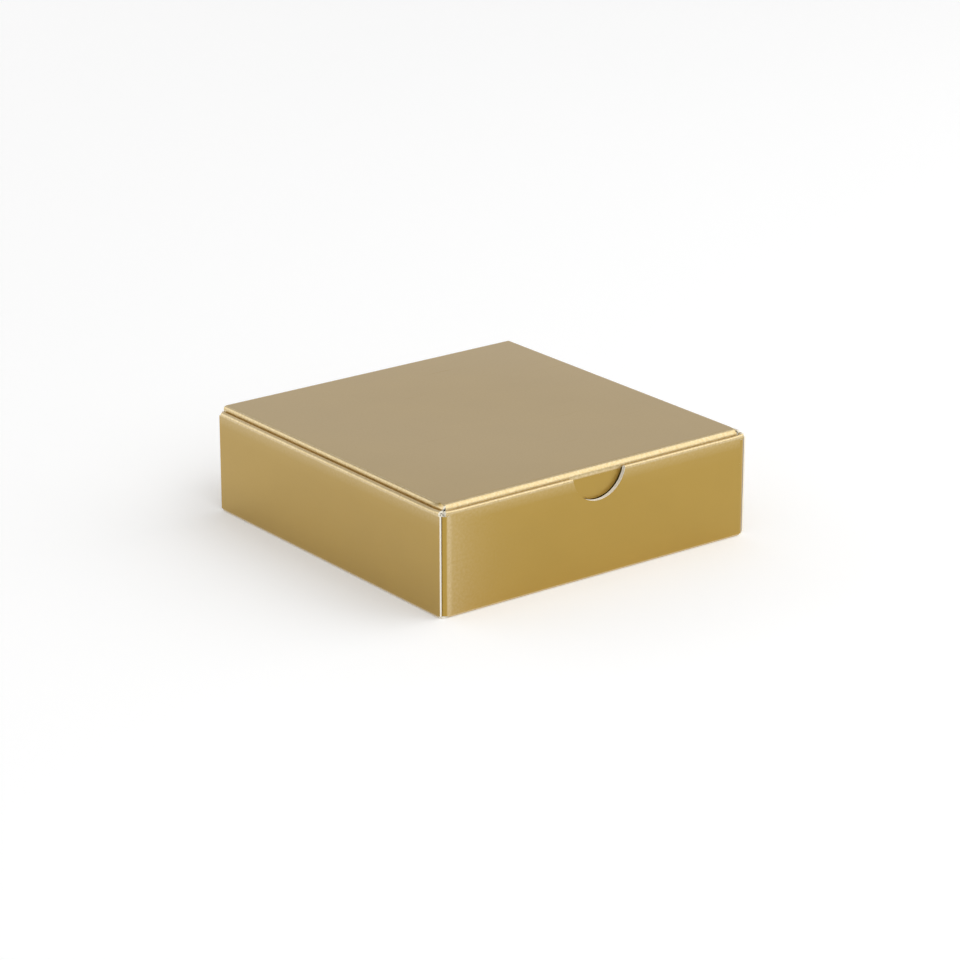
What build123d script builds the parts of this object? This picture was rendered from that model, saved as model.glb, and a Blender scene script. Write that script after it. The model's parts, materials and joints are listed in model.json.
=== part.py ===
"""A square favor box: a roll-end, tuck-top folding carton in foil board, panel by panel.

Millimetres, +Z up. The origin is the middle of the footprint, on the surface the box stands on.
The front wall, with the thumb notch, faces -Y, and the lid turns on the back wall at +Y.
"""

from build123d import *
from math import atan2, cos, degrees, radians, sin
import os

# Driving dimensions of the box
outer_width = 92.0
outer_depth = 92.0
side_wall_height = 25.7
front_wall_rise = 0.1
lid_rise = 1.25

# The board and the air between two layers of a rolled wall
board = 0.46
layer_gap = 0.12

# Thumb notch in the front wall
notch_diameter = 15.9
notch_depth = 6.8

# Lid and its creases
lid_side_fold_radius = 0.8
lid_front_fold_radius = 1.5
hinge_bead_radius = 0.6
hinge_gap = 0.1
crease_slit = 0.08
corner_slit = 0.75
flap_shoulder = 3.0

# Tuck flap: below its shoulders, each millimetre of drop takes the taper off each end
tuck_flap_drop = 16.0
tuck_flap_taper = 0.6
tuck_flap_corner_radius = 4.0
tuck_flap_clearance = 0.2
tuck_flap_extra_tilt = 1.0

# Side flaps of the lid, whose folds run on past the ends of the tuck flap's fold
side_flap_drop = 14.0
side_flap_back_taper = 0.35
side_flap_corner_radius = 3.0
side_flap_clearance = 0.1
side_flap_tilt = 18.0
side_flap_back_gap = 0.15
side_fold_front_inset = 0.1

# Corner flaps inside the side walls, and the soft folds that they turn on
corner_fold_radius = 1.3
corner_flap_length = 22.6
corner_flap_taper = 0.12
corner_flap_corner_radius = 3.0

# Lock tabs of the inner walls and their slots in the bottom panel
lock_tab_length = 13.0
lock_tab_spacing = 44.0
lock_tab_recess = 0.05
slot_clearance = 0.25

# Raw ends of the side walls, set back from the box's front and back faces, and further at their rolled tops
side_wall_set_back = 0.7
side_roll_set_back = 1.2

# Ends of the front and back walls above the corner flaps, short of the corner flaps' outer face
wall_top_end_gap = 0.65
front_roll_end_gap = 0.1

# Derived sizes of the walls
half_width = outer_width / 2
half_depth = outer_depth / 2
layer_pitch = board + layer_gap
crease_radius = board + layer_gap
front_wall_thickness = board + layer_pitch
side_wall_thickness = board + 2 * layer_pitch
front_wall_height = side_wall_height + front_wall_rise
lid_top_height = side_wall_height + lid_rise
front_roll_radius = front_wall_thickness / 2
side_roll_radius = side_wall_thickness / 2
side_roll_foot = side_wall_height - side_roll_radius
front_roll_foot = front_wall_height - front_roll_radius
corner_top = side_roll_foot - layer_gap
corner_plane = half_width - layer_pitch
plate_half_width = corner_plane - corner_fold_radius
wall_top_half_width = corner_plane - wall_top_end_gap
front_roll_half_width = wall_top_half_width - front_roll_end_gap
side_plate_half_length = half_depth - side_wall_set_back
side_roll_half_length = half_depth - side_roll_set_back

# Derived places of the lid
hinge_y = half_depth - hinge_bead_radius
hinge_z = lid_top_height - hinge_bead_radius
tuck_flap_tilt = degrees(atan2(tuck_flap_drop, 2 * outer_depth)) + tuck_flap_extra_tilt

# Below the shoulders the side flaps are mitred to the tuck flap, which folds in beneath them
side_flap_front_taper = 1 / tuck_flap_taper


def crease_inset(wall_radius, wall_height, fold_radius, clearance, tilt):
    """How far a lid crease's axis lies inside the wall's outer face, for its flap to pass the rolled top."""
    rise = (lid_top_height - fold_radius) - (wall_height - wall_radius)
    reach = wall_radius + fold_radius + clearance
    across = (reach - rise * sin(radians(tilt))) / cos(radians(tilt))
    return wall_radius + across


tuck_crease_inset = crease_inset(
    front_roll_radius, front_wall_height, lid_front_fold_radius, tuck_flap_clearance, tuck_flap_tilt
)
side_crease_inset = crease_inset(
    side_roll_radius, side_wall_height, lid_side_fold_radius, side_flap_clearance, side_flap_tilt
)
tuck_crease_y = -half_depth + tuck_crease_inset
tuck_crease_z = lid_top_height - lid_front_fold_radius
side_crease_x = half_width - side_crease_inset
side_crease_z = lid_top_height - lid_side_fold_radius


def bend(radius, start, sweep):
    """Cross section of a folded strip of board about the origin, from one angle on by a sweep."""
    outer = CenterArc((0, 0), radius, start, sweep)
    inner = CenterArc((0, 0), radius - board, start, sweep)
    first_cut = Line(inner @ 0, outer @ 0)
    last_cut = Line(inner @ 1, outer @ 1)
    return make_face([outer, inner, first_cut, last_cut])


def standing_plate(outline, outer_inset):
    """A sheet of board standing across the front, its outer face this far behind the front face."""
    face_plane = Plane.XZ.offset(half_depth - outer_inset)
    return extrude(face_plane * outline, -board)


def block_outline(left, right, low, high):
    """A rectangle in a wall's own plane, across and up."""
    return Pos((left + right) / 2, (low + high) / 2) * Rectangle(right - left, high - low)


def stepped_outline(low, high, top_half_width):
    """A wall's outline between its corner folds, with wider ends above the corner flaps."""
    outline = block_outline(-plate_half_width, plate_half_width, low, high)
    outline += block_outline(-top_half_width, top_half_width, corner_top + crease_slit, high)
    return outline


def long_bend(section, axis_point, start, end):
    """A folded strip that runs along X, from start to end, about a crease axis in the YZ plane."""
    strip = extrude(Plane.YZ * section, end - start)
    return Pos(start, axis_point[0], axis_point[1]) * strip


def foot_fold(half_length):
    """The crease between the bottom panel and the wall at the front."""
    axis_point = (-half_depth + crease_radius, crease_radius)
    return long_bend(bend(crease_radius, 180, 90), axis_point, -half_length, half_length)


def notch_cutter():
    """The thumb notch, right through the front wall."""
    centre_height = front_wall_height - notch_depth + notch_diameter / 2
    disc = Plane.XZ.offset(half_depth + board) * Pos(0, centre_height) * Circle(notch_diameter / 2)
    return extrude(disc, -(front_wall_thickness + 2 * board))


def lock_tab_places():
    """Middles of the two lock tabs along a wall."""
    return (-lock_tab_spacing / 2, lock_tab_spacing / 2)


def with_lock_tabs(outline):
    """An inner wall's outline with its lock tabs reaching down into the bottom panel."""
    for middle in lock_tab_places():
        half = lock_tab_length / 2
        outline += block_outline(middle - half, middle + half, lock_tab_recess, 2 * board)
    return outline


def turned_to_side(shape):
    """Takes what was drawn on the front to the left side."""
    return Rot(0, 0, -90) * shape


def mirrored(shape):
    """The right-hand twin of a left-hand piece."""
    return mirror(shape, about=Plane.YZ)


# Bottom panel


def bottom_panel():
    """The floor, with slots at its side and front creases for the lock tabs."""
    size_x = outer_width - 2 * crease_radius
    size_y = outer_depth - 2 * crease_radius
    panel = extrude(Rectangle(size_x, size_y), board)
    slot_length = lock_tab_length + 2 * slot_clearance
    side_slot_depth = side_wall_thickness + slot_clearance - crease_radius
    front_slot_depth = front_wall_thickness + slot_clearance - crease_radius
    for middle in lock_tab_places():
        for side in (-1, 1):
            x = side * (size_x - side_slot_depth) / 2
            panel -= Pos(x, middle) * extrude(Rectangle(side_slot_depth, slot_length), board)
        y = -(size_y - front_slot_depth) / 2
        panel -= Pos(middle, y) * extrude(Rectangle(slot_length, front_slot_depth), board)
    return panel


# Front wall


def front_outer_wall():
    """The front face, between its soft corner folds, with the thumb notch."""
    outline = stepped_outline(crease_radius, front_roll_foot, wall_top_half_width)
    return standing_plate(outline, 0) + foot_fold(plate_half_width) - notch_cutter()


def front_rolled_edge():
    """The rolled top of the front wall: one strip each side of the notch."""
    axis_point = (-half_depth + front_roll_radius, front_roll_foot)
    section = bend(front_roll_radius, 0, 180)
    strip = long_bend(section, axis_point, -front_roll_half_width, front_roll_half_width)
    return strip - notch_cutter()


def front_inner_wall():
    """The front wall's second layer, down to the bottom panel, where its tabs lock."""
    outline = stepped_outline(board, front_roll_foot, front_roll_half_width)
    return standing_plate(with_lock_tabs(outline), layer_pitch) - notch_cutter()


# Back wall


def back_wall():
    """A single layer, between its soft corner folds, that stops just under the lid's crease bead."""
    top = hinge_z - hinge_bead_radius - hinge_gap
    outline = stepped_outline(crease_radius, top, wall_top_half_width)
    return Rot(0, 0, 180) * (standing_plate(outline, 0) + foot_fold(plate_half_width))


# Corner flaps


def corner_flap():
    """The front wall's left end, folded back inside the left wall."""
    height = corner_top - crease_radius
    upright = Plane.XY.offset(crease_radius)
    axis_place = Pos(-plate_half_width, -half_depth + corner_fold_radius)
    fold = extrude(upright * axis_place * bend(corner_fold_radius, 180, 90), height)
    far_drop = corner_flap_taper * corner_flap_length
    # Across the flap runs from its fold at zero to its free end
    outline = make_face(
        Polyline(
            (0, crease_radius),
            (0, corner_top),
            (corner_flap_length, corner_top - far_drop),
            (corner_flap_length, crease_radius + far_drop),
            (0, crease_radius),
        )
    )
    free_corners = outline.vertices().group_by(Axis.X)[-1]
    outline = fillet(free_corners, corner_flap_corner_radius)
    flap_plane = Plane(
        origin=(-corner_plane, -half_depth + corner_fold_radius, 0), x_dir=(0, 1, 0), z_dir=(1, 0, 0)
    )
    return fold + extrude(flap_plane * outline, board)


# Side walls, drawn on the left


def side_outer_wall():
    """A side face, which shows its raw edges beside the corner folds."""
    outline = block_outline(-side_plate_half_length, side_plate_half_length, crease_radius, side_roll_foot)
    axis_point = (-half_width + crease_radius, crease_radius)
    fold = long_bend(bend(crease_radius, 180, 90), axis_point, -side_roll_half_length, side_roll_half_length)
    plate = extrude(Plane.XZ.offset(half_width) * outline, -board)
    return turned_to_side(plate + fold)


def side_rolled_edge():
    """The rolled top of a side wall, loose enough to hold the corner flaps inside."""
    axis_point = (-half_width + side_roll_radius, side_roll_foot)
    section = bend(side_roll_radius, 0, 180)
    return turned_to_side(long_bend(section, axis_point, -side_roll_half_length, side_roll_half_length))


def side_inner_wall():
    """The inside layer of a side wall, with lock tabs in the bottom panel."""
    plain = block_outline(-side_roll_half_length, side_roll_half_length, board, side_roll_foot)
    outline = with_lock_tabs(plain)
    inner_plane = Plane.XZ.offset(half_width - 2 * layer_pitch)
    return turned_to_side(extrude(inner_plane * outline, -board))


# Lid


def lid_panel():
    """The lid's flat panel, with the crease bead along its back edge that it turns on."""
    half_lid = side_crease_x - crease_slit
    front_y = tuck_crease_y + crease_slit
    outline = Pos(0, (front_y + hinge_y) / 2) * Rectangle(2 * half_lid, hinge_y - front_y)
    panel = extrude(Plane.XY.offset(lid_top_height - board) * outline, board)
    bead = Pos(-half_lid, hinge_y, hinge_z) * extrude(Plane.YZ * Circle(hinge_bead_radius), 2 * half_lid)
    return panel + bead


def hanging_flap(fold_start, fold_end, outline, corner_radius, fold_radius, tilt):
    """A flap that hangs from a crease along X at the origin, with its fold, leaning towards +Y."""
    fold = long_bend(bend(fold_radius, 90, 90 + tilt), (0, 0), fold_start, fold_end)
    face = make_face(Polyline(*outline, close=True))
    free_corners = face.vertices().group_by(Axis.Y)[0]
    face = fillet(free_corners, corner_radius)
    outward = Vector(0, -cos(radians(tilt)), -sin(radians(tilt)))
    inner_face = Plane(origin=outward * (fold_radius - board), x_dir=(1, 0, 0), z_dir=outward)
    return fold + extrude(inner_face * face, board)


def lid_tuck_flap():
    """The lid's front flap, which tucks in behind the front wall: its fold runs from side fold to side fold."""
    fold_half_length = side_crease_x - crease_slit
    half_length = side_crease_x - corner_slit
    free_half_length = half_length - tuck_flap_taper * (tuck_flap_drop - flap_shoulder)
    outline = (
        (-half_length, 0),
        (half_length, 0),
        (half_length, -flap_shoulder),
        (free_half_length, -tuck_flap_drop),
        (-free_half_length, -tuck_flap_drop),
        (-half_length, -flap_shoulder),
    )
    flap = hanging_flap(
        -fold_half_length,
        fold_half_length,
        outline,
        tuck_flap_corner_radius,
        lid_front_fold_radius,
        tuck_flap_tilt,
    )
    return Pos(0, tuck_crease_y, tuck_crease_z) * flap


def lid_left_flap():
    """The lid's left flap, which tucks in beside the left inner wall: its fold covers the tuck fold's end."""
    # Along the crease, drawn with the back of the box at its start and the front at its end
    start = -(half_depth - board - side_flap_back_gap)
    end = -(tuck_crease_y + corner_slit)
    fold_end = lid_front_fold_radius - tuck_crease_y - side_fold_front_inset
    outline = (
        (start, 0),
        (end, 0),
        (end, -flap_shoulder),
        (end - side_flap_front_taper * (side_flap_drop - flap_shoulder), -side_flap_drop),
        (start + side_flap_back_taper * side_flap_drop, -side_flap_drop),
    )
    flap = hanging_flap(
        start, fold_end, outline, side_flap_corner_radius, lid_side_fold_radius, side_flap_tilt
    )
    return Pos(-side_crease_x, 0, side_crease_z) * turned_to_side(flap)


pieces = {
    "bottom_panel": bottom_panel(),
    "front_outer_wall": front_outer_wall(),
    "front_rolled_edge": front_rolled_edge(),
    "front_inner_wall": front_inner_wall(),
    "back_wall": back_wall(),
    "lid_panel": lid_panel(),
    "lid_tuck_flap": lid_tuck_flap(),
}
left_pieces = {
    "front_{}_corner_flap": corner_flap(),
    "back_{}_corner_flap": mirror(corner_flap(), about=Plane.XZ),
    "{}_outer_wall": side_outer_wall(),
    "{}_rolled_edge": side_rolled_edge(),
    "{}_inner_wall": side_inner_wall(),
    "lid_{}_flap": lid_left_flap(),
}
for name, piece in left_pieces.items():
    pieces[name.format("left")] = piece
    pieces[name.format("right")] = mirrored(piece)

os.makedirs("parts", exist_ok=True)
for name, piece in pieces.items():
    export_step(piece, f"parts/{name}.step")
print("lid crease axes: hinge y z", round(hinge_y, 4), round(hinge_z, 4))
print("tuck flap y z tilt", round(tuck_crease_y, 4), round(tuck_crease_z, 4), round(tuck_flap_tilt, 4))
print("side flaps x z tilt", round(side_crease_x, 4), round(side_crease_z, 4), side_flap_tilt)
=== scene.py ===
"""Looks of the favor box: a folding carton in gold foil board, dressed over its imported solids.

Metres, +Z up, in the frame of the solids. Each panel is cut flat as a blank and then folded up along its
creases, with foil on one face, white lining on the other and raw board round its cut edge.
"""
import json
from math import asin, ceil, cos, exp, pi, radians, sin, sqrt, tan

import bmesh
import bpy
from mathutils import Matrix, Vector
from mathutils.geometry import delaunay_2d_cdt


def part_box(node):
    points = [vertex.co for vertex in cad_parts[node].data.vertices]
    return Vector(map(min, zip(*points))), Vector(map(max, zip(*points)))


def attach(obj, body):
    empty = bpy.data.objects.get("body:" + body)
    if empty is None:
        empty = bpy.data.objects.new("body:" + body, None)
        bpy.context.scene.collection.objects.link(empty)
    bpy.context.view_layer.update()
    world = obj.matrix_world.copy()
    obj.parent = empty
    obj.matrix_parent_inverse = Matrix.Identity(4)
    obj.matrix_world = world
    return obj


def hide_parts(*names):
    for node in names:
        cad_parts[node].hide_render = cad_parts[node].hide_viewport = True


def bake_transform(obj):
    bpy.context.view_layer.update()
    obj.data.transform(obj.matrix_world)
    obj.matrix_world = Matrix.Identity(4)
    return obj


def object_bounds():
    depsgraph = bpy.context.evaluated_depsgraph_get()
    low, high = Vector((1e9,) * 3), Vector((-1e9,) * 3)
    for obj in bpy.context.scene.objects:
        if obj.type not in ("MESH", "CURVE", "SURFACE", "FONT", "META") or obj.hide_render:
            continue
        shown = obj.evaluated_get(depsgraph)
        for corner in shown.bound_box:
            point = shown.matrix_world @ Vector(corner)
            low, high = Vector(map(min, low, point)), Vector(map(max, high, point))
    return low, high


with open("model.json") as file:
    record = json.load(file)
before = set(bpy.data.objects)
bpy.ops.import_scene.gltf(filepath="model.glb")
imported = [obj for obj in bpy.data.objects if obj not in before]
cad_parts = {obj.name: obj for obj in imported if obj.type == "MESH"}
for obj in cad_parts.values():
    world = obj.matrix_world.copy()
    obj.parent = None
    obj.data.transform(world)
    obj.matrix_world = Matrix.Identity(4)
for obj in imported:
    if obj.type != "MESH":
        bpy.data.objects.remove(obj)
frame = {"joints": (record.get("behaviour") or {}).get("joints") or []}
cad_low, cad_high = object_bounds()

mm = 0.001

# The board, and how it lies in the walls
board = 0.46 * mm
layer_gap = 0.12 * mm
crease_radius = board + layer_gap
front_roll_radius = board + layer_gap / 2
side_roll_radius = 1.5 * board + layer_gap

# The lid's creases and flaps
tuck_fold_radius = 1.5 * mm
side_fold_radius = 0.8 * mm
side_soft_radius = 3.0 * mm
hinge_bead_radius = 0.6 * mm
hinge_bead_turn = 205
tuck_flap_tilt = 5.9697
tuck_flap_drop = 16.0 * mm
tuck_flap_taper = 0.6
tuck_flap_corner = 4.0 * mm
side_flap_tilt = 18.0
side_crease_turn = 92
side_flap_drop = 14.0 * mm
side_flap_back_taper = 0.35
side_flap_corner = 3.0 * mm
flap_shoulder = 3.0 * mm
corner_slit = 0.75 * mm

# Each crease strip takes this much of the flat board on both sides of its bend
crease_margin = 0.5 * mm

# The notch, the lock tabs and the corner flaps
notch_radius = 7.95 * mm
notch_centre_height = 26.95 * mm
lock_tab_half = 6.5 * mm
lock_tab_place = 22.0 * mm
slot_clearance = 0.25 * mm
corner_fold_radius = 1.3 * mm
corner_flap_taper = 0.12
corner_flap_corner = 3.0 * mm
crease_slit = 0.08 * mm
in_roll_rise = 0.28 * mm

# How far the folded panels give, sag, bow and rise
wall_give = 0.22 * mm
lid_sag = 0.25 * mm
tuck_flap_bow = 0.5 * mm
tuck_bow_half_width = 3 * notch_radius
tuck_bow_half_height = 6.0 * mm
front_corner_rise = 0.3 * mm
front_corner_start = 41.0 * mm
front_corner_reach = 4.0 * mm
rise_height = 0.5 * mm
wall_depth_in_radii = 2.2

# Painted highlight on the foil: pale fading down from the rolled tops, and a pale line along the near
# corner's fold with painted light fading in from it
painted_highlight_share = 0.4
painted_highlight_depth = 3.0 * mm
painted_fold_highlight_share = 0.45
painted_fold_highlight_middle = 0.25 * mm
painted_fold_highlight_half = 0.9 * mm
painted_fold_highlight_end = 1.2 * mm
painted_corner_light_share = 0.45
painted_corner_light_fade = 7.0 * mm

# Fineness of the meshes
panel_step = 3.0 * mm
beside_crease = 0.35 * mm
degrees_per_facet = 11.0
notch_facets = 36
corner_facets = 6
shaded_as_one = 36
grid_clearance = 0.05 * mm
closest_rows = 0.02 * mm

# Places read from the solids
half_width, half_depth, lid_top = cad_high
front_roll_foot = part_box("front_outer_wall")[1].z
side_roll_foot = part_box("left_outer_wall")[1].z
back_wall_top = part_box("back_wall")[1].z
corner_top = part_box("front_left_corner_flap")[1].z
corner_flap_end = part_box("front_left_corner_flap")[1].y
wall_top_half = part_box("front_outer_wall")[1].x
front_roll_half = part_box("front_rolled_edge")[1].x
side_plate_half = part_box("left_outer_wall")[1].y
side_roll_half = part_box("left_rolled_edge")[1].y
tab_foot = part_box("front_inner_wall")[0].z
bottom_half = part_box("bottom_panel")[1].x
lid_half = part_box("lid_panel")[1].x
side_fold_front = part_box("lid_left_flap")[0].y
side_flap_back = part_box("lid_left_flap")[1].y
plate_half = -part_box("front_left_corner_flap")[0].x - corner_fold_radius
crease_axis = {joint["name"]: Vector(joint["pos_m"]) for joint in frame["joints"]}
hinge = crease_axis["lid_hinge"]
tuck_crease = crease_axis["tuck_flap_fold"]
side_crease = crease_axis["left_flap_fold"]
side_flap_front = tuck_crease.y + corner_slit
same_side = Vector((1, 1, 1))
to_the_right = Vector((-1, 1, 1))
to_the_back = Vector((1, -1, 1))


# Flat blanks


def spread(low, high, step):
    """Even places from low to high, about a step apart."""
    count = max(1, ceil((high - low) / step - 1e-6))
    return [low + (high - low) * i / count for i in range(count + 1)]


def soft_corners(corners):
    """A closed outline from (across, along, radius) corners, with the rounded ones turned into arcs."""
    points = []
    for i, (u, v, radius) in enumerate(corners):
        here = Vector((u, v))
        if not radius:
            points.append(here)
            continue
        before = (Vector(corners[i - 1][:2]) - here).normalized()
        after = (Vector(corners[(i + 1) % len(corners)][:2]) - here).normalized()
        half_angle = before.angle(after) / 2
        middle = here + (before + after).normalized() * radius / sin(half_angle)
        first = here + before * radius / tan(half_angle) - middle
        last = here + after * radius / tan(half_angle) - middle
        points += [middle + first.slerp(last, k / corner_facets) * radius for k in range(corner_facets + 1)]
    return points


def slotted_edge(start, end, half, depth):
    """An edge's points from start to end, with two slots of this depth to its left, or tabs to its right
    if the depth is negative."""
    first, last = Vector(start), Vector(end)
    way = (last - first).normalized()
    aside = Vector((-way.y, way.x)) * depth
    middle = (first + last) / 2
    points = [first]
    for place in (-lock_tab_place, lock_tab_place):
        near, far = middle + way * (place - half), middle + way * (place + half)
        points += [near, near + aside, far + aside, far]
    return points + [last]


def both_sides(right_side, between=()):
    """A closed outline from its right side, with what lies between the two sides at the far end."""
    left_side = [(-u, v) for u, v in reversed(right_side)]
    return [*right_side, *between, *left_side]


def crossed(loop, columns, rows):
    """The loop's points, with one more wherever an edge crosses a column or a row."""
    points = []
    for a, b in zip(loop, loop[1:] + loop[:1]):
        shares = {0.0}
        for way, lines in ((0, columns), (1, rows)):
            run = b[way] - a[way]
            if abs(run) > 1e-9:
                found = [(line - a[way]) / run for line in lines]
                shares.update(round(share, 5) for share in found if 1e-4 < share < 1 - 1e-4)
        points += [a.lerp(b, share) for share in sorted(shares)]
    return points


def within(point, loops, clear=0.0):
    """True for a point inside the outline and outside its windows, and this far clear of every edge."""
    odd = False
    for loop in loops:
        for a, b in zip(loop, loop[1:] + loop[:1]):
            along = b - a
            share = max(0.0, min(1.0, (point - a).dot(along) / max(along.length_squared, 1e-18)))
            if (a + along * share - point).length < clear:
                return False
            if (a.y > point.y) != (b.y > point.y):
                if point.x < a.x + (point.y - a.y) / (b.y - a.y) * (b.x - a.x):
                    odd = not odd
    return odd


def die_cut(outline, columns, rows, windows=()):
    """A blank as flat points and triangles: its outline less its windows, meshed on columns and rows."""
    loops = [crossed([Vector(p) for p in loop], columns, rows) for loop in (outline, *windows)]
    points, edges = [], []
    for loop in loops:
        first = len(points)
        points += loop
        edges += [(first + i, first + (i + 1) % len(loop)) for i in range(len(loop))]
    grid = [Vector((u, v)) for v in rows for u in columns]
    points += [place for place in grid if within(place, loops, grid_clearance)]
    inside_outline = 1
    in_mm = [point / mm for point in points]
    corners, _, faces, *_ = delaunay_2d_cdt(in_mm, edges, [], inside_outline, 1e-4)
    flat = [corner * mm for corner in corners]
    return flat, [(a, b, c) for a, b, c in faces if within((flat[a] + flat[b] + flat[c]) / 3, loops)]


# Folding


def ahead(angle):
    return Vector((cos(angle), sin(angle)))


def outward(angle):
    return Vector((-sin(angle), cos(angle)))


def crease_path(start, heading, parts):
    """A sheet seen end on. Its foil face goes from start by flat runs (None, length) and by bends to the
    right (radius, degrees), with the foil on the outside of each bend."""
    spans, point, angle, travelled = [], Vector(start), radians(heading), 0.0
    for radius, amount in parts:
        length = radius * radians(amount) if radius else amount
        spans.append((travelled, length, point, angle, radius))
        if radius:
            centre = point - outward(angle) * radius
            angle -= radians(amount)
            point = centre + outward(angle) * radius
        else:
            point = point + ahead(angle) * length
        travelled += length
    return spans


def path_end(spans):
    return spans[-1][0] + spans[-1][1]


def path_rows(spans):
    """Places along a path for a blank's rows: close together round each bend and beside it."""
    rows = {0.0}
    for i, (begin, length, _, _, radius) in enumerate(spans):
        step = radius * radians(degrees_per_facet) if radius else panel_step
        rows.update(spread(begin, begin + length, step))
        if not radius and length > 4 * beside_crease:
            if i > 0:
                rows.add(begin + beside_crease)
            if i < len(spans) - 1:
                rows.add(begin + length - beside_crease)
    kept = []
    for row in sorted(rows):
        if not kept or row - kept[-1] > closest_rows:
            kept.append(row)
    return kept


def on_path(spans, along):
    """Point and outward direction, seen end on, at a distance along the foil face, and one in a bend."""
    reached = [span for span in spans if along >= span[0] - 1e-7 or span is spans[0]]
    begin, _, point, angle, radius = reached[-1]
    travelled = along - begin
    if not radius:
        return point + ahead(angle) * travelled, outward(angle), 0.0
    centre = point - outward(angle) * radius
    turned = angle - travelled / radius
    return centre + outward(turned) * radius, outward(turned), 1.0


def across_x(spans):
    """Lays a blank on a path in the YZ plane, with the blank's width along X."""
    def lay(u, v):
        point, out, bent = on_path(spans, v)
        return Vector((u, point.x, point.y)), Vector((0, out.x, out.y)), bent
    return lay


def across_y(spans):
    """Lays a blank on a path in the XZ plane, with the blank's width along Y."""
    def lay(u, v):
        point, out, bent = on_path(spans, v)
        return Vector((point.x, u, point.y)), Vector((out.x, 0, out.y)), bent
    return lay


def upright(spans):
    """Lays a blank on a path in plan, with the blank's width along Z."""
    def lay(u, v):
        point, out, _ = on_path(spans, v)
        return Vector((point.x, point.y, u)), Vector((out.x, out.y, 0)), 0.0
    return lay


def turned_over(lay, flip):
    """The same lay in a mirror, as flip scales it."""
    def mirrored(u, v):
        point, out, bent = lay(u, v)
        return point * flip, out * flip, bent
    return mirrored


def paled(lay, *shares):
    """The same lay, with the foil painted pale, as painted highlight and painted light, by the largest of
    these shares.
    """
    def painted_pale(u, v):
        point, out, bent = lay(u, v)
        return point, out, max(bent, *(share(u, v) for share in shares))
    return painted_pale


def painted_highlight_under(roll):
    """A share of painted highlight that fades down the outer layer from its rolled top."""
    def share(u, v):
        return painted_highlight_share * (1 - (roll - v) / painted_highlight_depth) if v < roll else 0.0
    return share


def painted_corner_highlight_and_light(inward):
    """The share of painted highlight at a distance in from the near corner's fold: a painted highlight line
    along the fold itself, and painted light that fades in from the corner.
    """
    if inward < -painted_fold_highlight_middle:
        return 0.0
    in_line = max(0.0, 1 - abs(inward - painted_fold_highlight_middle) / painted_fold_highlight_half)
    return painted_fold_highlight_share * in_line + painted_corner_light_share * exp(-inward / painted_corner_light_fade)


def stays(point):
    return Vector()


def fold_up(name, blank, lay, settles=stays):
    """Folds a blank up as a sheet of board: foil outside, lining inside and raw board round the cut edge."""
    flat, triangles = blank
    laid = [lay(*point) for point in flat]
    outer = [point + settles(point) for point, _, _ in laid]
    inner = [point - out * board for point, (_, out, _) in zip(outer, laid)]
    count = len(flat)
    turns = [(outer[b] - outer[a]).cross(outer[c] - outer[a]).dot(laid[a][1]) for a, b, c in triangles]
    if sum(turns) < 0:
        triangles = [(a, c, b) for a, b, c in triangles]
    sides = {side for face in triangles for side in zip(face, face[1:] + face[:1])}
    cut_edge = [(b, a, a + count, b + count) for a, b in sorted(sides) if (b, a) not in sides]
    lining = [(c + count, b + count, a + count) for a, b, c in triangles]
    mesh = bpy.data.meshes.new(name)
    mesh.from_pydata(outer + inner, [], triangles + lining + cut_edge)
    finishes = [0] * len(triangles) + [1] * len(lining) + [2] * len(cut_edge)
    mesh.polygons.foreach_set("material_index", finishes)
    mesh.attributes.new("blank_place", "FLOAT_VECTOR", "POINT")
    mesh.attributes.new("crease", "FLOAT", "POINT")
    places = [value for depth in (0, board) for point in flat for value in (point.x, point.y, depth)]
    mesh.attributes["blank_place"].data.foreach_set("vector", places)
    # The crease attribute holds the bends and also the shares of painted highlight and painted light laid on
    # by paled
    mesh.attributes["crease"].data.foreach_set("value", [bent for _, _, bent in laid] * 2)
    for material in (gold_foil, white_lining, raw_board):
        mesh.materials.append(material)
    squared = bmesh.new()
    squared.from_mesh(mesh)
    bmesh.ops.join_triangles(
        squared,
        faces=squared.faces,
        cmp_materials=True,
        angle_face_threshold=radians(1),
        angle_shape_threshold=radians(40),
    )
    squared.to_mesh(mesh)
    squared.free()
    mesh.polygons.foreach_set("use_smooth", [True] * len(mesh.polygons))
    mesh.set_sharp_from_angle(angle=radians(shaded_as_one))
    mesh.update()
    sheet = bpy.data.objects.new(name, mesh)
    bpy.context.scene.collection.objects.link(sheet)
    return sheet


# Materials


def add(tree, kind, **settings):
    """A shader node of this kind, with its own settings and the values of its inputs."""
    made = tree.nodes.new("ShaderNode" + kind)
    for setting, value in settings.items():
        if setting in made.bl_rna.properties:
            setattr(made, setting, value)
        else:
            made.inputs[setting.replace("_", " ")].default_value = value
    return made


def scaled(tree, value, factor, plus=None):
    """A value times a factor, plus another value where there is one."""
    made = add(tree, "Math", operation="MULTIPLY_ADD" if plus else "MULTIPLY")
    tree.links.new(value, made.inputs[0])
    if isinstance(factor, bpy.types.NodeSocket):
        tree.links.new(factor, made.inputs[1])
    else:
        made.inputs[1].default_value = factor
    if plus:
        tree.links.new(plus, made.inputs[2])
    return made.outputs[0]


def between(tree, value, low, high, to_low=0.0, to_high=1.0):
    """A value taken from the range low to high to another range, and held at its ends."""
    made = add(tree, "MapRange", From_Min=low, From_Max=high, To_Min=to_low, To_Max=to_high)
    tree.links.new(value, made.inputs["Value"])
    return made.outputs[0]


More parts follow.
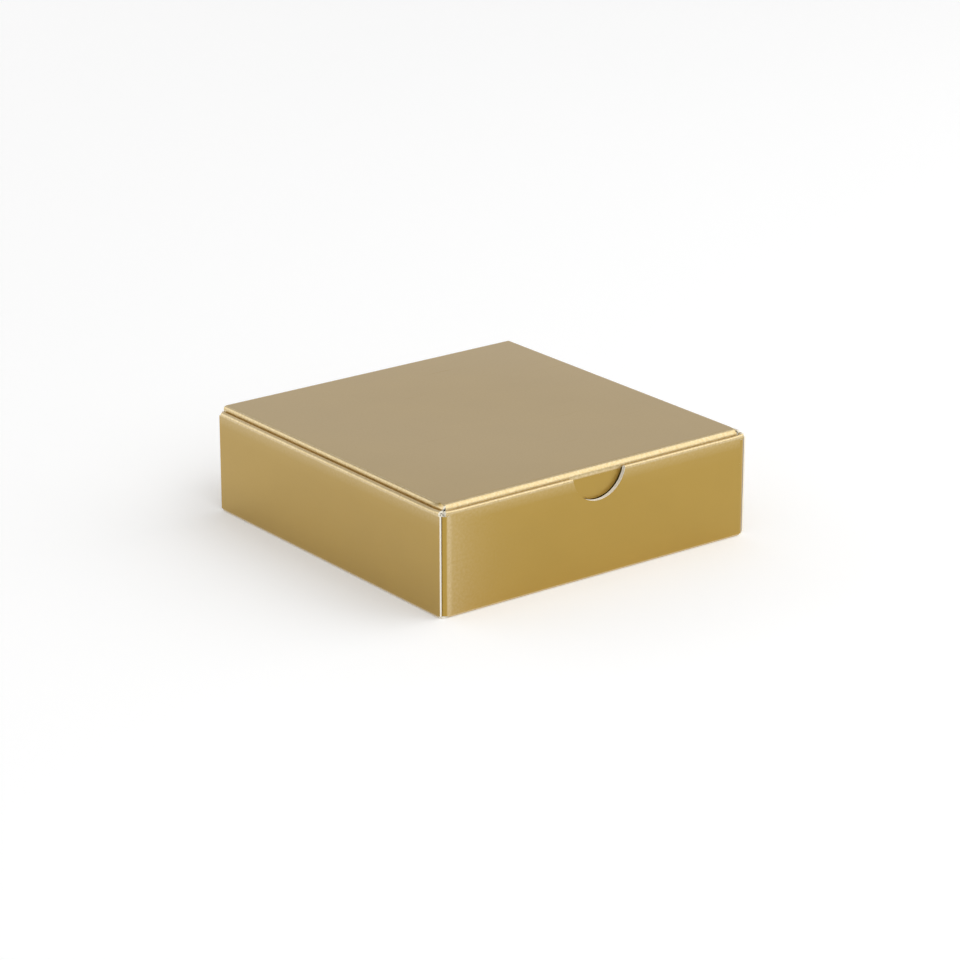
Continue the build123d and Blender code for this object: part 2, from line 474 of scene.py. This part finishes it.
def tinted(tree, share, first, second):
    """Two colours, each a fixed one or an output, mixed by a share that changes over the surface."""
    made = add(tree, "Mix", data_type="RGBA")
    colour_sockets = [socket for socket in made.inputs if socket.type == "RGBA"]
    for socket, colour in zip(colour_sockets, (first, second)):
        if isinstance(colour, bpy.types.NodeSocket):
            tree.links.new(colour, socket)
        else:
            socket.default_value = (*colour, 1)
    tree.links.new(share, made.inputs[0])
    return [socket for socket in made.outputs if socket.type == "RGBA"][0]


def on_blank(tree, stretch=(1, 1, 1), turn=0):
    """The place on the flat blank, in metres, so that a pattern runs on over the creases."""
    place = add(tree, "Attribute", attribute_name="blank_place").outputs["Vector"]
    drawn = add(tree, "Mapping", Rotation=(0, 0, radians(turn)), Scale=stretch)
    tree.links.new(place, drawn.inputs["Vector"])
    return drawn.outputs[0]


def noise(tree, place, scale, detail=3.0, roughness=0.5, distortion=0.0):
    made = add(tree, "TexNoise", Detail=detail, Roughness=roughness, Distortion=distortion)
    if isinstance(scale, bpy.types.NodeSocket):
        tree.links.new(scale, made.inputs["Scale"])
    else:
        made.inputs["Scale"].default_value = scale
    tree.links.new(place, made.inputs["Vector"])
    return made.outputs[0]


def effect(name, inputs, outputs):
    """A node group for an effect, with its number inputs and outputs, and its two end nodes."""
    group = bpy.data.node_groups.new(name, "ShaderNodeTree")
    for label, value in inputs.items():
        socket = group.interface.new_socket(label, in_out="INPUT", socket_type="NodeSocketFloat")
        socket.default_value = value
    for label in outputs:
        group.interface.new_socket(label, in_out="OUTPUT", socket_type="NodeSocketFloat")
    return group, group.nodes.new("NodeGroupInput"), group.nodes.new("NodeGroupOutput")


def place_effect(tree, group, **values):
    """An effect's group placed in a material, with its own values."""
    made = tree.nodes.new("ShaderNodeGroup")
    made.node_tree = group
    for label, value in values.items():
        made.inputs[label.replace("_", " ")].default_value = value
    return made.outputs


def board_fibre():
    """Pressed paper fibre: a patchy tone, and a height for the surface."""
    scales = {"Fibre Scale": 900.0, "Patch Scale": 130.0}
    group, entry, leave = effect("board_fibre", scales, ("Tone", "Height"))
    fibre = noise(group, on_blank(group, (1, 3, 1)), entry.outputs["Fibre Scale"], 4, 0.65, 0.6)
    patches = noise(group, on_blank(group), entry.outputs["Patch Scale"])
    tone = scaled(group, fibre, 0.6, scaled(group, patches, 0.4))
    group.links.new(tone, leave.inputs["Tone"])
    group.links.new(fibre, leave.inputs["Height"])
    return group


def handling_marks():
    """Faint hairline rubs from stacking and handling, in sparse patches."""
    group, entry, leave = effect("handling_marks", {"Amount": 1.0}, ("Mask",))
    streaks = between(group, noise(group, on_blank(group, (40, 1400, 1), 28), 1.0, 2), 0.64, 0.74)
    patches = between(group, noise(group, on_blank(group), 70.0, 2), 0.5, 0.68)
    mask = scaled(group, scaled(group, streaks, patches), entry.outputs["Amount"])
    group.links.new(mask, leave.inputs["Mask"])
    return group


def crease_strain_and_highlight():
    """Where the board is bent round a crease, broken up along it: partly the foil's real strain, partly
    painted highlight. Its mask also holds the painted highlight and painted light from paled.
    """
    group, entry, leave = effect("crease_strain_and_highlight", {"Amount": 1.0}, ("Mask",))
    bent = add(group, "Attribute", attribute_name="crease").outputs["Fac"]
    breaks = between(group, noise(group, on_blank(group), 1500.0), 0.3, 0.7, 0.55, 1.0)
    mask = scaled(group, scaled(group, bent, breaks), entry.outputs["Amount"])
    group.links.new(mask, leave.inputs["Mask"])
    return group


fibre_effect = board_fibre()
marks_effect = handling_marks()
strain_and_highlight_effect = crease_strain_and_highlight()


def new_finish(name, **fixed):
    """A material with its fixed values set on the shader's own sockets."""
    material = bpy.data.materials.new(name)
    material.use_nodes = True
    shader = material.node_tree.nodes["Principled BSDF"]
    for label, value in fixed.items():
        shader.inputs[label.replace("_", " ")].default_value = value
    return material, material.node_tree, shader.inputs


def roughened(tree, height, strength, depth):
    """A surface normal from a height."""
    made = add(tree, "Bump", Strength=strength, Distance=depth)
    tree.links.new(height, made.inputs["Height"])
    return made.outputs[0]


def gold_foil_finish():
    """Satin gold foil over board: close gold tones, a fine grain, faint rubs, and creases painted pale,
    partly as the foil's strain and partly as painted highlight.
    """
    material, tree, shader = new_finish("gold_foil", Metallic=1.0, Coat_Weight=0.9, Coat_Roughness=0.25)
    marks = place_effect(tree, marks_effect, Amount=0.35)["Mask"]
    # Crease mask: partly real foil strain, partly painted highlight on the folds, the rolled tops and the
    # near corner
    strain_and_highlight_mask = place_effect(tree, strain_and_highlight_effect, Amount=0.75)["Mask"]
    grain = noise(tree, on_blank(tree), 1700.0, 3, 0.6)
    clouds = noise(tree, on_blank(tree), 55.0)
    # The pale strain gold is partly the foil's real strain and partly painted highlight
    light_gold, deep_gold, strain_and_highlight_gold = (0.465, 0.292, 0.038), (0.42, 0.262, 0.03), (0.84, 0.70, 0.44)
    colour = tinted(tree, strain_and_highlight_mask, tinted(tree, clouds, light_gold, deep_gold), strain_and_highlight_gold)
    satin = scaled(tree, marks, 0.3, between(tree, grain, 0, 1, 0.30, 0.40))
    tree.links.new(colour, shader["Base Color"])
    tree.links.new(satin, shader["Roughness"])
    tree.links.new(roughened(tree, grain, 0.12, 0.03 * mm), shader["Normal"])
    return material


def white_lining_finish():
    """The uncoated inside of the board: matt white fibre, a little grey where it is handled or bent."""
    material, tree, shader = new_finish("white_lining", Specular_IOR_Level=0.3)
    fibre = place_effect(tree, fibre_effect, Fibre_Scale=1100.0, Patch_Scale=130.0)
    marks = place_effect(tree, marks_effect, Amount=0.3)["Mask"]
    strain_and_highlight_mask = place_effect(tree, strain_and_highlight_effect, Amount=0.3)["Mask"]
    white = tinted(tree, fibre["Tone"], (0.90, 0.885, 0.845), (0.80, 0.78, 0.73))
    handled = tinted(tree, marks, white, (0.72, 0.70, 0.66))
    # This crease mask also holds the foil's painted highlight shares, so the lining greys there too
    tree.links.new(tinted(tree, strain_and_highlight_mask, handled, (0.74, 0.72, 0.67)), shader["Base Color"])
    tree.links.new(between(tree, fibre["Tone"], 0, 1, 0.65, 0.85), shader["Roughness"])
    tree.links.new(roughened(tree, fibre["Height"], 0.25, 0.04 * mm), shader["Normal"])
    return material


def raw_board_finish():
    """The cut edge of the board: creamy white, in fine torn layers."""
    material, tree, shader = new_finish("raw_board", Specular_IOR_Level=0.2)
    fibre = place_effect(tree, fibre_effect, Fibre_Scale=2600.0, Patch_Scale=400.0)
    cream = tinted(tree, fibre["Tone"], (0.97, 0.93, 0.82), (0.92, 0.87, 0.74))
    tree.links.new(cream, shader["Base Color"])
    tree.links.new(between(tree, fibre["Tone"], 0, 1, 0.75, 0.95), shader["Roughness"])
    tree.links.new(roughened(tree, fibre["Height"], 0.4, 0.05 * mm), shader["Normal"])
    return material


gold_foil = gold_foil_finish()
white_lining = white_lining_finish()
raw_board = raw_board_finish()


# How the folded panels settle


def swell(share):
    """Nothing at both ends of a panel and one in its middle, for a share of -1 to 1."""
    return max(0.0, 1 - share * share) ** 2


def tray_settles(point):
    """Each wall gives in a little between its creases, and its rolled top rises at the front corners."""
    offset = Vector()
    height = swell(2 * point.z / side_roll_foot - 1)
    if abs(point.x) > half_width - wall_depth_in_radii * side_roll_radius:
        offset.x = -wall_give * swell(point.y / half_depth) * height * (1 if point.x > 0 else -1)
    if abs(point.y) > half_depth - wall_depth_in_radii * front_roll_radius:
        offset.y = -wall_give * swell(point.x / half_width) * height * (1 if point.y > 0 else -1)
    near_top = max(0.0, min(1.0, (point.z - corner_top) / rise_height))
    near_front_corner = max(0.0, min(abs(point.x), -point.y) - front_corner_start) / front_corner_reach
    offset.z = front_corner_rise * near_top * near_front_corner ** 2
    return offset


def tuck_flap_settles(point):
    """The tuck flap bows out behind the notch."""
    notch_foot = notch_centre_height - notch_radius
    across = swell(point.x / tuck_bow_half_width)
    upward = swell((point.z - notch_foot) / tuck_bow_half_height)
    return Vector((0, -tuck_flap_bow * across * upward, 0))


def lid_settles(point):
    """The lid panel sags a little between its creases."""
    return Vector((0, 0, -lid_sag * swell(point.x / lid_half) * swell(point.y / half_depth)))


# The tray


def dressed(sheet, body, slot, *nodes):
    """A sheet that rides on a body and stands for these solids."""
    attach(sheet, body)
    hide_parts(*nodes)


def bottom_sheet():
    """The floor of the tray, slotted for the lock tabs."""
    half = lock_tab_half + slot_clearance
    side_depth = 2 * side_roll_radius + slot_clearance - crease_radius
    front_depth = 2 * front_roll_radius + slot_clearance - crease_radius
    edge = bottom_half
    outline = [
        *slotted_edge((-edge, -edge), (edge, -edge), half, front_depth)[:-1],
        *slotted_edge((edge, -edge), (edge, edge), half, side_depth),
        *slotted_edge((-edge, edge), (-edge, -edge), half, side_depth)[:-1],
    ]
    lines = spread(-edge, edge, panel_step)

    def lay(u, v):
        return Vector((u, v, 0)), Vector((0, 0, -1)), 0.0

    sheet = fold_up("bottom_sheet", die_cut(outline, lines, lines), lay)
    dressed(sheet, "tray", "white_board", "bottom_panel")


def rolled_path(roll_radius, roll_foot):
    """A wall rolled over at its top: foot crease, outer layer, rolled top and inner layer."""
    outer_layer = (None, roll_foot - crease_radius)
    inner_layer = (None, roll_foot - tab_foot)
    parts = [(crease_radius, 90), outer_layer, (roll_radius, 180), inner_layer]
    return crease_path((-bottom_half, 0), 180, parts)


def notch_window(up_outside, down_inside, roll, inner):
    """The thumb notch as a window in the flat blank: an arc in each layer, straight across the rolled top."""
    foot_angle = asin((notch_centre_height - front_roll_foot) / notch_radius)
    angles = spread(foot_angle, pi - foot_angle, (pi - 2 * foot_angle) / notch_facets)
    arc = [(-notch_radius * cos(a), notch_centre_height - notch_radius * sin(a)) for a in angles]
    top_rise = notch_centre_height - front_roll_foot - front_roll_radius
    roll_end = sqrt(notch_radius ** 2 - top_rise ** 2)
    window = [(u, up_outside(height)) for u, height in arc]
    window.append((roll_end, (roll + inner) / 2))
    window += [(u, down_inside(height)) for u, height in reversed(arc)]
    window.append((-roll_end, (roll + inner) / 2))
    return window


def front_wall_sheet():
    """The front wall in one sheet, over its rolled top, with the notch cut through both layers."""
    spans = rolled_path(front_roll_radius, front_roll_foot)
    foot, roll, inner = (span[0] for span in spans[1:])
    beside_fold = plate_half - crease_margin

    def up_outside(height):
        return foot + height - crease_radius

    def down_inside(height):
        return inner + front_roll_foot - height

    # Painted highlight line and painted light from the near corner's fold, below the rolled top
    def beside_near_corner(u, v):
        return painted_corner_highlight_and_light(u + plate_half) if v < roll else 0.0

    step = corner_top + crease_slit
    right_side = [
        (plate_half, 0),
        (plate_half, foot),
        (beside_fold, foot),
        (beside_fold, up_outside(step)),
        (wall_top_half, up_outside(step)),
        (wall_top_half, roll),
        (front_roll_half, roll),
        (front_roll_half, down_inside(step)),
        (plate_half, down_inside(step)),
    ]
    inner_foot = down_inside(board)
    ends = (plate_half, inner_foot), (-plate_half, inner_foot)
    tabs = slotted_edge(*ends, lock_tab_half, tab_foot - board)
    window = notch_window(up_outside, down_inside, roll, inner)
    columns = spread(-wall_top_half, wall_top_half, panel_step)
    columns += [-beside_fold, beside_fold, painted_fold_highlight_end - plate_half]
    blank = die_cut(both_sides(right_side, tabs), columns, path_rows(spans), [window])
    # Painted highlight fades down from the rolled top, and the near corner gets a painted highlight line and
    # painted light
    lay = paled(across_x(spans), painted_highlight_under(roll), beside_near_corner)
    sheet = fold_up("front_wall_sheet", blank, lay, tray_settles)
    dressed(sheet, "tray", "gold_foil_board", "front_outer_wall", "front_rolled_edge", "front_inner_wall")


def side_wall_sheet(side, flip):
    """A side wall in one sheet, over its rolled top. Its raw ends show beside the corner folds."""
    spans = rolled_path(side_roll_radius, side_roll_foot)
    foot, roll, inner = (span[0] for span in spans[1:])
    right_side = [
        (side_roll_half, 0),
        (side_roll_half, foot),
        (side_plate_half, foot),
        (side_plate_half, roll),
        (side_roll_half, roll),
    ]
    inner_foot = inner + side_roll_foot - board
    ends = (side_roll_half, inner_foot), (-side_roll_half, inner_foot)
    tabs = slotted_edge(*ends, lock_tab_half, tab_foot - board)
    columns = spread(-side_plate_half, side_plate_half, panel_step) + [-side_roll_half, side_roll_half]
    blank = die_cut(both_sides(right_side, tabs), columns, path_rows(spans))
    # The foil is painted pale from the rolled top down, as painted highlight
    lay = turned_over(paled(across_y(spans), painted_highlight_under(roll)), flip)
    sheet = fold_up(side + "_wall_sheet", blank, lay, tray_settles)
    nodes = [side + layer for layer in ("_outer_wall", "_rolled_edge", "_inner_wall")]
    dressed(sheet, "tray", "gold_foil_board", *nodes)


def back_wall_sheet():
    """The back wall, bent in at its top just under the lid's crease bead."""
    parts = [(crease_radius, 90), (None, back_wall_top - 2 * crease_radius), (crease_radius, 90)]
    spans = crease_path((-bottom_half, 0), 180, parts)
    foot = spans[1][0]
    beside_fold = plate_half - crease_margin
    step = foot + corner_top + crease_slit - crease_radius
    right_side = [
        (plate_half, 0),
        (plate_half, foot),
        (beside_fold, foot),
        (beside_fold, step),
        (wall_top_half, step),
        (wall_top_half, path_end(spans)),
    ]
    columns = spread(-wall_top_half, wall_top_half, panel_step)
    blank = die_cut(both_sides(right_side), columns, path_rows(spans))
    sheet = fold_up("back_wall_sheet", blank, turned_over(across_x(spans), to_the_back), tray_settles)
    dressed(sheet, "tray", "gold_foil_board", "back_wall")


def corner_flap_sheet(corner, flip):
    """An end of the front or back wall, folded round the corner and tucked inside the side wall."""
    flap_length = corner_flap_end + half_depth - corner_fold_radius
    parts = [(None, crease_margin), (corner_fold_radius, 90), (None, flap_length)]
    spans = crease_path((crease_margin - plate_half, -half_depth), 180, parts)
    low, high, far_drop = crease_radius, corner_top, corner_flap_taper * flap_length
    in_roll = high + in_roll_rise
    flap, end = spans[2][0], path_end(spans)
    outline = soft_corners([
        (low, 0, 0),
        (high, 0, 0),
        (high, flap - board, 0),
        (in_roll, flap, 0),
        (in_roll - far_drop, end, corner_flap_corner),
        (low + far_drop, end, corner_flap_corner),
        (low, flap, 0),
    ])
    blank = die_cut(outline, spread(low, high, panel_step), path_rows(spans))

    # Painted highlight line and painted light along the near corner's fold
    def round_near_corner(u, v):
        return painted_corner_highlight_and_light(crease_margin - v)

    lay = upright(spans)
    # Only the near front left corner gets this painted highlight and painted light
    if corner == "front_left":
        lay = paled(lay, round_near_corner)
    sheet = fold_up(corner + "_corner_sheet", blank, turned_over(lay, flip), tray_settles)
    dressed(sheet, "tray", "gold_foil_board", corner + "_corner_flap")


# The lid


def lid_sheet():
    """The lid's flat panel, bent down at the back round the crease that it turns on."""
    front = tuck_crease.y + crease_margin
    spans = crease_path((front, lid_top), 0, [(None, hinge.y - front), (hinge_bead_radius, hinge_bead_turn)])
    beside_fold = -side_crease.x - crease_margin
    right_side = [
        (beside_fold, 0),
        (beside_fold, spans[1][0]),
        (lid_half, spans[1][0]),
        (lid_half, path_end(spans)),
    ]
    columns = spread(-beside_fold, beside_fold, panel_step)
    blank = die_cut(both_sides(right_side), columns, path_rows(spans))
    dressed(fold_up("lid_sheet", blank, across_x(spans), lid_settles), "lid", "gold_foil_board", "lid_panel")


def flap_path(crease_across, crease_height, drop, bends):
    """A lid flap seen end on, from its free edge up through its bends and over onto the lid."""
    heading = sum(turn for _, turn in bends)
    parts = [(None, drop), *bends, (None, crease_margin)]
    bend_end = crease_path((0, 0), heading, parts)[-1][2]
    start = Vector((crease_across, crease_height + bends[-1][0])) - bend_end
    return crease_path(start, heading, parts)


def tuck_flap_sheets():
    """The flap that tucks in behind the front wall, and the strip round its crease."""
    bends = [(tuck_fold_radius, 90 + tuck_flap_tilt)]
    spans = flap_path(tuck_crease.y, tuck_crease.z, tuck_flap_drop, bends)
    rows = path_rows(spans)
    half = -side_crease.x - corner_slit
    free_half = half - tuck_flap_taper * (tuck_flap_drop - flap_shoulder)
    bend, end = spans[1][0], path_end(spans)
    joint = bend - crease_margin
    shoulder = tuck_flap_drop - flap_shoulder
    outline = soft_corners([
        (free_half, 0, tuck_flap_corner),
        (half, shoulder, 0),
        (half, joint, 0),
        (-half, joint, 0),
        (-half, shoulder, 0),
        (-free_half, 0, tuck_flap_corner),
    ])
    columns = spread(-half, half, panel_step)
    flap = fold_up("tuck_flap_sheet", die_cut(outline, columns, rows), across_x(spans), tuck_flap_settles)
    dressed(flap, "tuck_flap", "gold_foil_board", "lid_tuck_flap")
    right_side = [
        (half, joint),
        (half, bend),
        (lid_half, bend),
        (lid_half, end),
    ]
    strip = fold_up("tuck_crease_strip", die_cut(both_sides(right_side), columns, rows), across_x(spans))
    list(spans[-1][2])
    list(spans[1][2])
    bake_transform(strip)


def side_flap_sheets(side, flip):
    """A side flap of the lid, mitred at the front, and the strip round its crease, up to the lid's corner."""
    soft_turn = side_flap_tilt + 90 - side_crease_turn
    bends = [(side_soft_radius, soft_turn), (side_fold_radius, side_crease_turn)]
    flat_drop = side_flap_drop - side_soft_radius * radians(soft_turn)
    spans = flap_path(side_crease.x, side_crease.z, flat_drop, bends)
    rows = path_rows(spans)
    bend, bend_end, end = spans[1][0], spans[-1][0], path_end(spans)
    joint = bend - crease_margin
    shoulder = side_flap_drop - flap_shoulder
    free_front = side_flap_front + shoulder / tuck_flap_taper
    free_back = side_flap_back - side_flap_back_taper * side_flap_drop
    back_at_joint = side_flap_back - side_flap_back_taper * crease_margin
    outline = soft_corners([
        (free_front, 0, side_flap_corner),
        (free_back, 0, side_flap_corner),
        (back_at_joint, joint, 0),
        (side_flap_front, joint, 0),
        (side_flap_front, shoulder, 0),
    ])
    columns = spread(side_fold_front, side_flap_back, panel_step)
    lay = turned_over(across_y(spans), flip)
    flap = fold_up(side + "_lid_flap_sheet", die_cut(outline, columns, rows), lay)
    dressed(flap, side + "_flap", "gold_foil_board", "lid_" + side + "_flap")
    ear_front = tuck_crease.y - tuck_fold_radius + board + layer_gap
    lid_front = tuck_crease.y + crease_margin
    outline = [
        (ear_front, joint),
        (back_at_joint, joint),
        (side_flap_back, bend),
        (side_flap_back, end),
        (lid_front, end),
        (lid_front, bend_end),
        (side_fold_front, bend_end),
        (side_fold_front, spans[2][0]),
        (ear_front, spans[2][0]),
    ]
    strip = fold_up(side + "_lid_crease_strip", die_cut(outline, columns, rows), lay)
    start, finish = (Vector((span[2].x, 0, span[2].y)) * flip for span in (spans[-1], spans[1]))
    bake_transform(strip)
    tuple(start)
    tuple(finish)


bottom_sheet()
front_wall_sheet()
back_wall_sheet()
lid_sheet()
tuck_flap_sheets()
for side_name, side_flip in (("left", same_side), ("right", to_the_right)):
    side_wall_sheet(side_name, side_flip)
    side_flap_sheets(side_name, side_flip)
    corner_flap_sheet("front_" + side_name, side_flip)
    corner_flap_sheet("back_" + side_name, side_flip * to_the_back)


# Studio


def studio_floor():
    """A plain pale floor, lifted to white where it is seen, in the foil too, with the box's shadow kept."""
    material, tree, shader = new_finish("pale_floor", Roughness=0.9, Specular_IOR_Level=0.1)
    shader["Base Color"].default_value = (0.96, 0.96, 0.96, 1)
    shader["Emission Color"].default_value = (1, 1, 1, 1)
    lift = 0.12
    ray = add(tree, "LightPath").outputs
    in_glass = scaled(tree, ray["Is Transmission Ray"], lift)
    in_foil_or_glass = scaled(tree, ray["Is Glossy Ray"], lift, in_glass)
    seen = scaled(tree, ray["Is Camera Ray"], lift, in_foil_or_glass)
    tree.links.new(seen, shader["Emission Strength"])
    reach, below = 4.0, -0.05 * mm
    mesh = bpy.data.meshes.new("studio_floor")
    corners = [(-reach, -reach, below), (reach, -reach, below), (reach, reach, below), (-reach, reach, below)]
    mesh.from_pydata(corners, [], [(0, 1, 2, 3)])
    mesh.materials.append(material)
    floor = bpy.data.objects.new("studio_floor", mesh)
    bpy.context.scene.collection.objects.link(floor)


def softbox(name, place, width, height, radiance):
    """A flat soft lamp, aimed at the foot of the box, that looks equally bright all over."""
    lamp = bpy.data.lights.new(name, "AREA")
    lamp.shape = "RECTANGLE"
    lamp.size, lamp.size_y = width, height
    lamp.energy = radiance * pi * width * height
    holder = bpy.data.objects.new(name, lamp)
    holder.location = place
    holder.rotation_euler = (-Vector(place)).to_track_quat("-Z", "Y").to_euler()
    bpy.context.scene.collection.objects.link(holder)


def room_light(level):
    world = bpy.data.worlds.new("studio")
    world.use_nodes = True
    background = world.node_tree.nodes["Background"]
    background.inputs["Color"].default_value = (1, 1, 1, 1)
    background.inputs["Strength"].default_value = level
    bpy.context.scene.world = world


def front_camera():
    """The photograph's view: a long lens, a little to the left of the notch and looking down on the lid."""
    camera = bpy.data.cameras.new("camera")
    camera.sensor_width = 36
    camera.lens = 128.934
    camera.clip_start, camera.clip_end = 0.05, 20
    holder = bpy.data.objects.new("camera", camera)
    holder.location = (-0.48013, -0.63023, 0.29464)
    holder.rotation_euler = (radians(70.2951), 0, radians(-37.3012))
    bpy.context.scene.collection.objects.link(holder)
    bpy.context.scene.camera = holder


studio_floor()
softbox("right_softbox", (0.76, -0.45, 0.82), width=1.4, height=1.3, radiance=1.15)
softbox("back_softbox", (-0.4, 0.9, 0.34), width=1.2, height=0.55, radiance=1.0)
softbox("front_softbox", (-0.25, -0.93, 0.8), width=1.0, height=1.0, radiance=1.6)
softbox("lid_softbox", (0.72, 0.94, 0.44), width=1.2, height=0.8, radiance=0.32)
room_light(level=0.47)
front_camera()
bpy.context.scene.view_settings.view_transform = "Standard"
